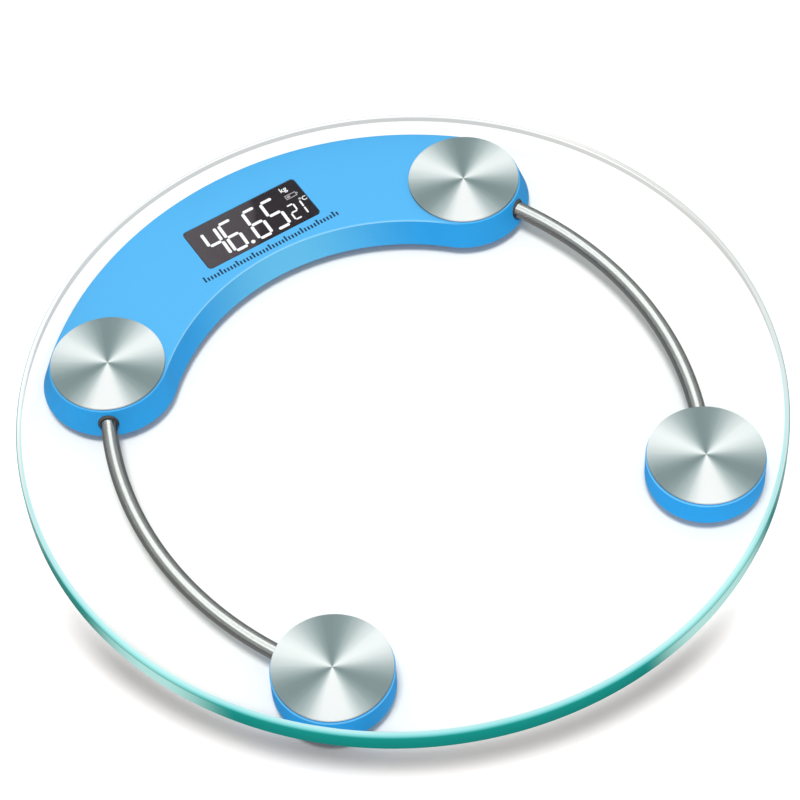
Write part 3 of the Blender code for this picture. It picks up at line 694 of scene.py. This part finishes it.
def make_arc(mats):
    low, high = span("arc_housing")
    bottom, top = low.z, high.z
    ceiling = top - WALL
    foot_half = high.y - FOOT_CIRCLE_R
    slope = (foot_half - ARC_TOP_HALF) / (top - 0.6 - bottom)
    outer_at = foot_half - slope * (top - FILLET - bottom)
    rings = [
        (foot_half - WALL - slope * (ceiling - bottom), ceiling),
        (foot_half - WALL, bottom),
        (foot_half - 0.25, bottom),
        (foot_half, bottom + 0.25),
        *fillet(outer_at, top),
    ]
    shell = lofted("arc_shell", [[(x, y, z) for x, y in arc_outline(h)] for h, z in rings])
    places = [polar(r, a) for a, r in ARC_SCREWS]
    cover_top = span("arc_bottom_cover")[1].z
    boolean(shell, "UNION", *pillars(BOSS_R, places, cover_top + 0.3, ceiling + WALL / 2, 32))
    lens_low, lens_high = span("display_lens")
    at = tuple(middle("display_lens").xy)
    window = (lens_high.x - lens_low.x + 0.6, lens_high.y - lens_low.y + 0.6)
    ledge = (window[0] - 4.2, window[1] - 4.2)
    cutters = [
        prism("window", rounded_rectangle(window, 2.0, at=at), lens_low.z - 0.3, top + 1),
        prism("ledge", rounded_rectangle(ledge, 1.0, at=at), ceiling - 1, top + 1),
        *pillars(PILOT_R, places, cover_top, span("arc_screw_1")[1].z + TIP_ROOM, 24),
    ]
    for foot in ("back_left", "back_right"):
        place, direction = tube_place(foot, 27.0)
        cutters.append(cylinder(SEAT_R, SEAT_LENGTH, place, direction))
    boolean(shell, "DIFFERENCE", *cutters)
    finished(shell, "scale_frame", mats["blue_plastic"], "blue_plastic", "arc_housing")
    shell.visible_glossy = False


def make_pods(mats):
    for side in ("left", "right"):
        foot = "front_" + side
        low, high = span("pod_housing_" + foot)
        centre = middle("pod_housing_" + foot)
        radius = (high.x - low.x) / 2
        ceiling = high.z - WALL
        profile = [
            (radius - WALL, ceiling),
            (radius - WALL, low.z),
            (radius - 0.25, low.z),
            (radius, low.z + 0.25),
            *fillet(radius, high.z),
        ]
        shell = turned("pod_shell_" + foot, profile, 144)
        shell.data.transform(Matrix.Translation((centre.x * MM, centre.y * MM, 0.0)))
        places = [tuple(middle("pod_screw_%s_%d" % (foot, i)).xy) for i in (1, 2)]
        cover_top = span("pod_bottom_ring_" + foot)[1].z
        boolean(shell, "UNION", *pillars(BOSS_R, places, cover_top + 0.3, ceiling + WALL / 2, 32))
        place, direction = tube_place(foot, radius - WALL / 2)
        tip = span("pod_screw_%s_1" % foot)[1].z
        boolean(
            shell,
            "DIFFERENCE",
            cylinder(SEAT_R, SEAT_LENGTH, place, direction),
            *pillars(PILOT_R, places, cover_top, tip + TIP_ROOM, 24),
        )
        finished(shell, "scale_frame", mats["pod_plastic_painted_lighter"], "blue_plastic", "pod_housing_" + foot)


def tube_mesh(name, points, outer, inner, sides=40):
    """A round pipe along level points, open through its bore."""
    pts = [Vector(p) for p in points]
    outside, inside = [], []
    for i, p in enumerate(pts):
        ahead = (pts[min(i + 1, len(pts) - 1)] - pts[max(i - 1, 0)]).normalized()
        up = Vector((0, 0, 1))
        across = ahead.cross(up)
        turns = [2 * math.pi * k / sides for k in range(sides)]
        ring = [across * math.cos(t) + up * math.sin(t) for t in turns]
        outside.append([p + outer * r for r in ring])
        inside.append([p + inner * r for r in ring])
    return lofted(name, [*outside, *reversed(inside)], closed=True)


def make_tubes(mats):
    for side in ("left", "right"):
        low, high = span("lead_tube_" + side)
        radius = (high.z - low.z) / 2
        centre = middle("steel_disc_back_" + side)
        sx = math.copysign(1, centre.x)
        bend_x = abs(centre.x) - math.sqrt(TUBE_BEND_R**2 - centre.y**2)
        end, _ = tube_place("back_" + side, 22.0)
        reach = math.degrees(math.atan2(end.y, abs(end.x) - bend_x))
        steps = 90
        points = []
        for i in range(steps + 1):
            x, y = polar(TUBE_BEND_R, reach * (2 * i / steps - 1), (bend_x, 0.0))
            points.append((sx * x, y, end.z))
        tube = tube_mesh("steel_tube_" + side, points, radius, radius - TUBE_WALL)
        finished(tube, "scale_frame", mats["polished_steel"], "polished_steel", "lead_tube_" + side)


def make_grommets(mats):
    bore, outer, half, edge = 3.8, 4.35, 0.95, 0.2
    profile = [
        (bore, -half),
        (outer - edge, -half),
        (outer, edge - half),
        (outer, half - edge),
        (outer - edge, half),
        (bore, half),
    ]
    for foot in FEET:
        at = middle("tube_grommet_" + foot)
        centre = middle("steel_disc_" + foot)
        distance = (Vector(at.xy) - Vector(centre.xy)).length
        _, direction = tube_place(foot, distance)
        ring = turned("tube_seal_" + foot, profile, 48, closed=True)
        turn = Vector(direction).to_track_quat("Z", "Y").to_matrix().to_4x4()
        ring.data.transform(Matrix.Translation(at * MM) @ turn)
        finished(ring, "scale_frame", mats["seal_rubber"], "black_rubber", "tube_grommet_" + foot)


def make_feet(mats):
    """Each foot's sole, with rings moulded in its tread, and its pad."""
    for foot in FEET:
        body = "foot_" + foot
        low, high = span("rubber_sole_" + foot)
        at = middle("rubber_sole_" + foot)
        r, top = (high.x - low.x) / 2, high.z
        tread = [(0.8, 0.0)]
        for ring in (4.0, 7.0, 10.0, 12.6):
            tread += [(ring - 0.6, 0.0), (ring - 0.3, 0.5), (ring + 0.3, 0.5), (ring + 0.6, 0.0)]
        profile = [(0.8, top), (r, top), (r, 0.5), (r - 0.5, 0.0), *reversed(tread)]
        sole = turned("tread_sole_" + foot, profile, 96)
        sole.data.transform(Matrix.Translation((at.x * MM, at.y * MM, 0.0)))
        finished(sole, body, mats["black_rubber"], "black_rubber", "rubber_sole_" + foot)
        low, high = span("foot_pad_" + foot)
        r = (high.x - low.x) / 2
        # The post stops short of the stiff load cell by the foot's travel, so it doesn't cut it
        press = next(j["range_m"][1] for j in frame["joints"] if j["child"] == body)
        top = high.z - press / MM
        profile = [
            (4.0, top),
            (4.5, top - 0.5),
            (4.5, 6.6),
            (5.3, 5.8),
            (r - 0.7, 5.8),
            (r - 0.2, 5.6),
            (r, 5.1),
            (r, low.z + 0.2),
            (r - 0.2, low.z),
            (15.8, low.z),
            (15.8, 1.8),
            (2.0, 1.8),
        ]
        pad = turned("moulded_pad_" + foot, profile, 96)
        pad.data.transform(Matrix.Translation((at.x * MM, at.y * MM, 0.0)))
        finished(pad, body, mats["white_plastic"], "white_plastic", "foot_pad_" + foot)


# Display


def make_lens(mats):
    low, high = span("display_lens")
    size, at = (high.x - low.x, high.y - low.y), tuple(middle("display_lens").xy)
    lens = prism("smoked_window", rounded_rectangle(size, 1.7, at=at), low.z, high.z)
    look = mats["smoked_lens"]
    finished(lens, "scale_frame", look, "smoked_lens", "display_lens", edge=0.2, angle=50)


SEGMENTS = {
    "0": "abcdef",
    "1": "bc",
    "2": "abged",
    "4": "fgbc",
    "5": "afgcd",
    "6": "afgecd",
}


def bar_outline(start, end, width):
    """A straight bar with pointed, blunted ends."""
    a, b = Vector(start), Vector(end)
    along = (b - a).normalized()
    side = Vector((-along.y, along.x))
    tip, w = width * 0.3, width / 2
    return [
        a + side * 0.5 * w,
        a + along * tip + side * w,
        b - along * tip + side * w,
        b + side * 0.5 * w,
        b - side * 0.5 * w,
        b - along * tip - side * w,
        a + along * tip - side * w,
        a - side * 0.5 * w,
    ]


def digit_bars(digit, left, bottom, width, height, bar):
    """The outlines of one seven-segment character."""
    w = bar / 2
    gap = bar * 0.32
    x0, x1 = left + w, left + width - w
    y0, y1, y2 = bottom + w, bottom + height / 2, bottom + height - w
    ends = {
        "a": ((x0 + gap, y2), (x1 - gap, y2)),
        "b": ((x1, y2 - gap), (x1, y1 + gap)),
        "c": ((x1, y1 - gap), (x1, y0 + gap)),
        "d": ((x0 + gap, y0), (x1 - gap, y0)),
        "e": ((x0, y1 - gap), (x0, y0 + gap)),
        "f": ((x0, y2 - gap), (x0, y1 + gap)),
        "g": ((x0 + gap, y1), (x1 - gap, y1)),
    }
    outlines = []
    for segment in SEGMENTS[digit]:
        outline = bar_outline(*ends[segment], bar)
        outlines.append([(p.x + (p.y - bottom) * SLANT, p.y) for p in outline])
    return outlines


def inked(name, outlines, z, mat, slot):
    """Thin raised shapes at this height, as one piece."""
    bm = bmesh.new()
    for outline in outlines:
        low = [bm.verts.new((x * MM, y * MM, z * MM)) for x, y in outline]
        high = [bm.verts.new((x * MM, y * MM, (z + INK) * MM)) for x, y in outline]
        bm.faces.new(low)
        bm.faces.new(high)
        for i in range(len(low)):
            j = (i + 1) % len(low)
            bm.faces.new((low[i], low[j], high[j], high[i]))
    return finished(from_bmesh(name, bm), "scale_frame", mat, slot)


def lettering(name, words, left, bottom, size, z, mat, slot):
    """A short unit sign as a thin mesh."""
    curve = bpy.data.curves.new(name, "FONT")
    curve.body = words
    curve.size = size * MM
    curve.extrude = INK / 2 * MM
    curve.offset = 0.00006
    text = bpy.data.objects.new(name + "_curve", curve)
    bpy.context.scene.collection.objects.link(text)
    bpy.context.view_layer.update()
    graph = bpy.context.evaluated_depsgraph_get()
    mesh = bpy.data.meshes.new_from_object(text.evaluated_get(graph))
    bpy.data.objects.remove(text)
    mesh.transform(Matrix.Translation((left * MM, bottom * MM, (z + INK / 2) * MM)))
    bm = bmesh.new()
    bm.from_mesh(mesh)
    bpy.data.meshes.remove(mesh)
    bmesh.ops.remove_doubles(bm, verts=bm.verts, dist=1e-6)
    return finished(from_bmesh(name, bm), "scale_frame", mat, slot)


def upright(x0, y0, x1, y1):
    return [(x0, y0), (x1, y0), (x1, y1), (x0, y1)]


def disc_outline(x, y, radius, steps=24):
    return [polar(radius, 360 * i / steps, (x, y)) for i in range(steps)]


def make_reading(mats):
    z = span("display_lens")[1].z + 0.01
    outlines = []
    for digit, left in zip("4665", (-23.6, -14.7, -2.1, 7.4)):
        outlines += digit_bars(digit, left, DIGIT_BOTTOM, DIGIT_W, DIGIT_H, BAR)
    outlines.append(disc_outline(-4.75, 116.3, 1.0))
    inked("reading_digits", outlines, z, mats["white_print"], "white_plastic")
    small = digit_bars("2", 17.4, 116.0, 4.2, 9.7, 0.85)
    small += digit_bars("1", 20.9, 116.2, 4.2, 9.5, 0.85)
    inked("temperature_digits", small, z, mats["white_print"], "white_plastic")
    white = mats["white_print"]
    lettering("temperature_unit", "°C", 25.0, 124.1, 3.4, z, white, "white_plastic")
    x, y, w, h, line = 20.4, 128.5, 5.6, 2.6, 0.4
    battery = [
        upright(x, y, x + w, y + line),
        upright(x, y + h - line, x + w, y + h),
        upright(x, y + line + 0.05, x + line, y + h - line - 0.05),
        upright(x + w - line, y + line + 0.05, x + w, y + h - line - 0.05),
        upright(x + w + 0.1, y + 0.9, x + w + 0.7, y + h - 0.9),
        upright(x + 0.8, y + 0.8, x + 2.4, y + h - 0.8),
    ]
    inked("battery_sign", battery, z, mats["dim_print"], "white_plastic")
    lettering("weight_unit", "kg", 20.2, 133.6, 3.9, z, white, "white_plastic")


def make_ticks(mats):
    """A plain row of graduation ticks below the window."""
    z = span("arc_housing")[1].z + 0.01
    outlines = []
    for i in range(TICK_COUNT):
        x = TICK_START + TICK_ROW * i / (TICK_COUNT - 1)
        tall = TICK_TALL if i % 5 == 0 else TICK_SHORT
        outlines.append(upright(x - TICK_W / 2, TICK_Y, x + TICK_W / 2, TICK_Y + tall))
    inked("graduation_ticks", outlines, z, mats["dark_print"], "dark_blue_plastic")


def dress_cad(mats, nodes):
    """CAD pieces that keep their own shape: crisp small bevels and their slot's material."""
    slots = {p["node"]: p["material_slot"] for p in frame["record"]["subparts"]}
    for name, obj in nodes.items():
        slot = slots[name]
        look = "coin_steel" if name == "coin_cell" else slot
        obj.data.materials.clear()
        obj.data.materials.append(mats[look])
        if obj.hide_render:
            continue
        weld = obj.modifiers.new("Weld", "WELD")
        weld.merge_threshold = 0.000002
        bevel = obj.modifiers.new("Edges", "BEVEL")
        bevel.width = 0.00012
        bevel.segments = 2
        bevel.limit_method = "ANGLE"
        bevel.angle_limit = math.radians(40)
        bevel.use_clamp_overlap = True


# Stage


def make_floor():
    bm = bmesh.new()
    for x, y in ((-8, -8), (8, -8), (8, 8), (-8, 8)):
        bm.verts.new((x, y, 0.0))
    bm.faces.new(bm.verts)
    floor = from_bmesh("floor", bm)
    mat, tree, shader, where = new_material("floor_paper", Roughness=0.9)
    shader.inputs["Specular IOR Level"].default_value = 0.0
    grain = noise(tree, where, 300.0, 2.0)
    stops = [(0.3, (0.968, 0.950, 0.935)), (0.7, (0.976, 0.958, 0.943))]
    tree.links.new(ramp(tree, grain, stops), shader.inputs["Base Color"])
    floor.data.materials.append(mat)
    floor.visible_glossy = False


def make_shade():
    """A soft-edged card under the rim's near side, out of sight, that deepens the shadow."""
    bm = bmesh.new()
    steps = 48
    rows = []
    for i in range(steps + 1):
        turn = SHADE_REACH * (2 * i / steps - 1)
        middle_r = SHADE_R + SHADE_GROWTH * (1 - math.cos(math.radians(turn)))
        edges = (middle_r - SHADE_WIDTH / 2, middle_r + SHADE_WIDTH / 2)
        row = [Vector((*polar(r, SHADE_CENTRE + turn), SHADE_Z)) for r in edges]
        rows.append([bm.verts.new(point * MM) for point in row])
    for near, far in zip(rows, rows[1:]):
        bm.faces.new((near[0], near[1], far[1], far[0]))
    card = from_bmesh("shade_card", bm)
    dark = (0.3, 0.3, 0.3, 1.0)
    mat, tree, shader, where = new_material("shade_card", Roughness=1.0, Base_Color=dark)
    plan = add(tree, "ShaderNodeVectorMath", operation="MULTIPLY")
    tree.links.new(where, plan.inputs[0])
    plan.inputs[1].default_value = (1.0, 1.0, 0.0)
    length = add(tree, "ShaderNodeVectorMath", operation="LENGTH")
    tree.links.new(plan.outputs[0], length.inputs[0])
    along = add(tree, "ShaderNodeVectorMath", operation="DOT_PRODUCT")
    tree.links.new(plan.outputs[0], along.inputs[0])
    along.inputs[1].default_value = (*polar(1.0, SHADE_CENTRE), 0.0)
    cosine = math_node(tree, "DIVIDE", along.outputs["Value"], length.outputs["Value"])
    grown = math_node(tree, "MULTIPLY", cosine, SHADE_GROWTH * MM)
    grown = math_node(tree, "ADD", length.outputs["Value"], grown)
    off_middle = math_node(tree, "SUBTRACT", grown, (SHADE_R + SHADE_GROWTH) * MM)
    aside = math_node(tree, "ABSOLUTE", off_middle)
    across = spread(tree, aside, 0.0, SHADE_WIDTH / 2 * MM, SHADE_DEPTH, 0.0, smooth=True)
    ends = math.cos(math.radians(SHADE_REACH)), math.cos(math.radians(SHADE_FULL))
    fade = spread(tree, cosine, *ends, smooth=True)
    tree.links.new(math_node(tree, "MULTIPLY", across, fade), shader.inputs["Alpha"])
    card.data.materials.append(mat)
    card.visible_camera = card.visible_glossy = card.visible_transmission = False


def camera_axes():
    a, e, r = (math.radians(v) for v in (AZIMUTH, ELEVATION, ROLL))
    right = Vector((math.cos(a), math.sin(a), 0.0))
    back = Vector((math.sin(a) * math.cos(e), -math.cos(a) * math.cos(e), math.sin(e)))
    up = back.cross(right)
    return math.cos(r) * right + math.sin(r) * up, math.cos(r) * up - math.sin(r) * right, back


def make_camera():
    right, up, back = camera_axes()
    data = bpy.data.cameras.new("camera")
    data.sensor_width = 36.0
    data.lens = LENS
    data.clip_start = 0.05
    camera = bpy.data.objects.new("camera", data)
    turn = Matrix((right, up, back)).transposed().to_4x4()
    camera.matrix_world = Matrix.Translation(TARGET + back * DISTANCE) @ turn
    bpy.context.scene.collection.objects.link(camera)
    bpy.context.scene.camera = camera


def make_light():
    """An even white room, mirrored as a bright ceiling over a darker horizon, and a soft lamp."""
    world = bpy.data.worlds.new("studio")
    world.use_nodes = True
    bpy.context.scene.world = world
    tree = world.node_tree
    background = tree.nodes["Background"]
    where = add(tree, "ShaderNodeTexCoord").outputs["Generated"]
    _, _, z = parts_of(tree, where)
    height = spread(tree, z, -1.0, 1.0)
    mirrored = ramp(tree, height, [(place, (grey, grey, grey)) for place, grey in MIRRORED_ROOM])
    # A dark flag where the level glass would mirror the room into the lens of the camera
    _, _, back = camera_axes()
    flag_at = Vector((-back.x, -back.y, back.z))
    facing = add(tree, "ShaderNodeVectorMath", operation="DOT_PRODUCT")
    tree.links.new(where, facing.inputs[0])
    facing.inputs[1].default_value = flag_at
    reach = (math.cos(math.radians(FLAG_EDGE)), math.cos(math.radians(FLAG_CORE)))
    flag = spread(tree, facing.outputs["Value"], *reach, 1.0, FLAG_SHADE, smooth=True)
    path = add(tree, "ShaderNodeLightPath")
    through_glass = math_node(tree, "GREATER_THAN", path.outputs["Transmission Depth"], 2.5)
    shaded = add(tree, "ShaderNodeVectorMath", operation="SCALE")
    tree.links.new(mirrored, shaded.inputs[0])
    tree.links.new(math_node(tree, "MAXIMUM", flag, through_glass), shaded.inputs["Scale"])
    once_mirrored = math_node(tree, "GREATER_THAN", path.outputs["Glossy Depth"], 0.5)
    unlit = add(tree, "ShaderNodeMix", data_type="RGBA")
    tree.links.new(path.outputs["Is Diffuse Ray"], unlit.inputs[0])
    unlit.inputs[6].default_value = (*[BACKDROP] * 3, 1.0)
    unlit.inputs[7].default_value = (*[AMBIENT] * 3, 1.0)
    room = add(tree, "ShaderNodeMix", data_type="RGBA")
    tree.links.new(once_mirrored, room.inputs[0])
    tree.links.new(unlit.outputs[2], room.inputs[6])
    tree.links.new(shaded.outputs[0], room.inputs[7])
    tree.links.new(room.outputs[2], background.inputs["Color"])
    world.cycles.sampling_method = "NONE"

    lamp = bpy.data.lights.new("key", "SUN")
    lamp.energy = SUN
    lamp.angle = math.radians(SUN_ANGLE)
    key = bpy.data.objects.new("key", lamp)
    # Seen from above, the glass would otherwise mirror the lamp and wash the view out
    key.visible_glossy = key.visible_transmission = False
    right, _, back = camera_axes()
    away = Vector((-back.x, -back.y, 0.0)).normalized()
    toward = (Vector((0, 0, 1)) - 0.06 * Vector((right.x, right.y, 0.0)) - 0.15 * away).normalized()
    key.rotation_euler = toward.to_track_quat("Z", "Y").to_euler()
    bpy.context.scene.collection.objects.link(key)
    bpy.context.scene.view_settings.view_transform = "Standard"


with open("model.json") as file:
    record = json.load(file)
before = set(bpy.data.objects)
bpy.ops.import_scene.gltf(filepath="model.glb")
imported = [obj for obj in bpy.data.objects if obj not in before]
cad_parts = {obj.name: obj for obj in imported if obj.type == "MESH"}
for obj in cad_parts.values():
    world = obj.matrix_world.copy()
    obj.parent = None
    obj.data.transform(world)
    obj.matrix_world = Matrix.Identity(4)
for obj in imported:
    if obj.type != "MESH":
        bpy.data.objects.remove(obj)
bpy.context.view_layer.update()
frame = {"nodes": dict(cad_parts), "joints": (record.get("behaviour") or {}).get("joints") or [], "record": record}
mats = make_materials()
make_camera()
make_light()
make_floor()
make_shade()
make_glass(mats)
make_discs(mats)
make_arc(mats)
make_pods(mats)
make_tubes(mats)
make_grommets(mats)
make_feet(mats)
make_lens(mats)
make_reading(mats)
make_ticks(mats)
dress_cad(mats, frame["nodes"])
